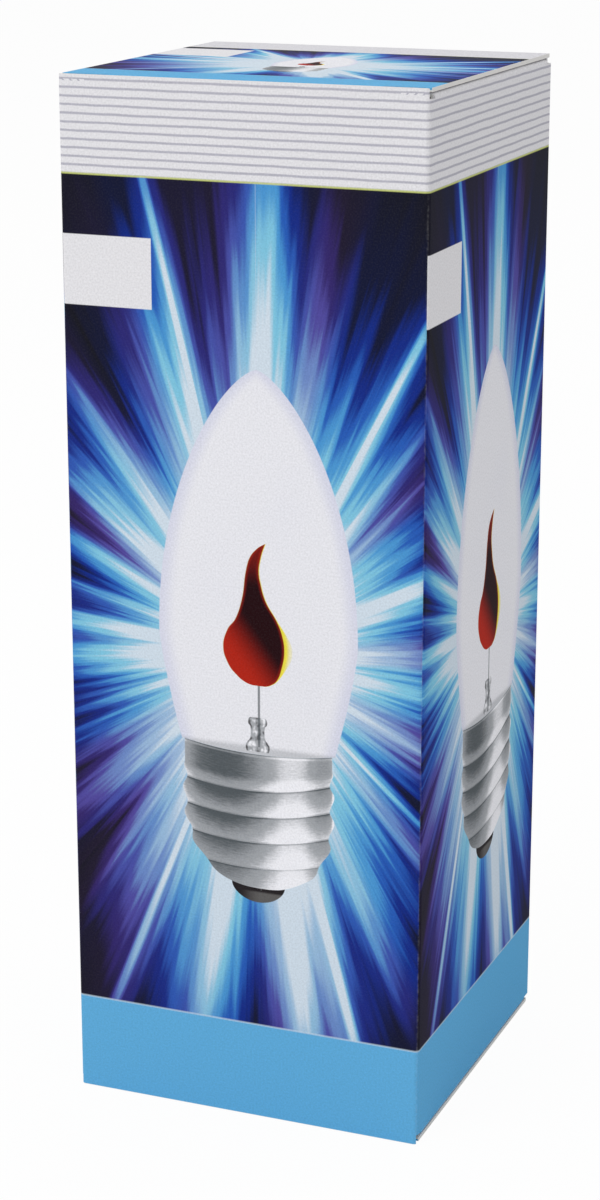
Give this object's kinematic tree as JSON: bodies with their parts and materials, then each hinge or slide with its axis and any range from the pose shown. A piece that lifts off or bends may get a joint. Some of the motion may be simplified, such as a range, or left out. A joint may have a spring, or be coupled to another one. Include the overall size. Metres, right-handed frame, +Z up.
{
  "type": "printed folding carton for a candle lamp",
  "caption": "Tall square printed board carton with a hinged tuck lid at each end, holding a clear candle lamp with flame-shaped glow plates and a screw cap.",
  "frame": {"origin": "middle of the carton's footprint, on the surface that it stands on", "axes": "+Z up along the carton, -Y towards the front face, +X to the front face's right"},
  "size_m": [0.038, 0.038, 0.1065],
  "materials": {
    "printed_board": "offset print under a semi-gloss varnish, plain grey-white inside",
    "clear_glass": "clear, blown and fire polished",
    "flame_coating": "matt oxide coating, orange-red to black",
    "lead_wire": "drawn nickel-plated wire",
    "resistor_ceramic": "matt lacquered ceramic body",
    "cap_metal": "pressed bright metal, nickel-plated",
    "cap_cement": "baked capping cement, matt",
    "dark_glass": "opaque black glass",
    "contact_brass": "pressed brass",
    "solder": "soft solder, bright"
  },
  "bodies": {
    "carton": {"carton_sleeve": "printed_board", "glass_envelope": "clear_glass", "glass_stem": "clear_glass", "front_flame_plate": "flame_coating", "rear_flame_plate": "flame_coating", "shell_lead": "lead_wire", "resistor_lead": "lead_wire", "resistor": "resistor_ceramic", "contact_lead": "lead_wire", "cap_shell": "cap_metal", "cap_cement": "cap_cement", "cap_insulator": "dark_glass", "centre_contact": "contact_brass", "contact_solder": "solder"},
    "top_lid": {"top_lid": "printed_board"},
    "bottom_lid": {"bottom_lid": "printed_board"}
  },
  "joints": [
    {"name": "top_lid_hinge", "type": "hinge", "parent": "carton", "child": "top_lid", "pos_m": [0, 0.01885, 0.10635], "axis": [-1, 0, 0], "range_deg": [0, 135]},
    {"name": "bottom_lid_hinge", "type": "hinge", "parent": "carton", "child": "bottom_lid", "pos_m": [0, 0.01885, 0.00015], "axis": [1, 0, 0], "range_deg": [0, 135]}
  ]
}
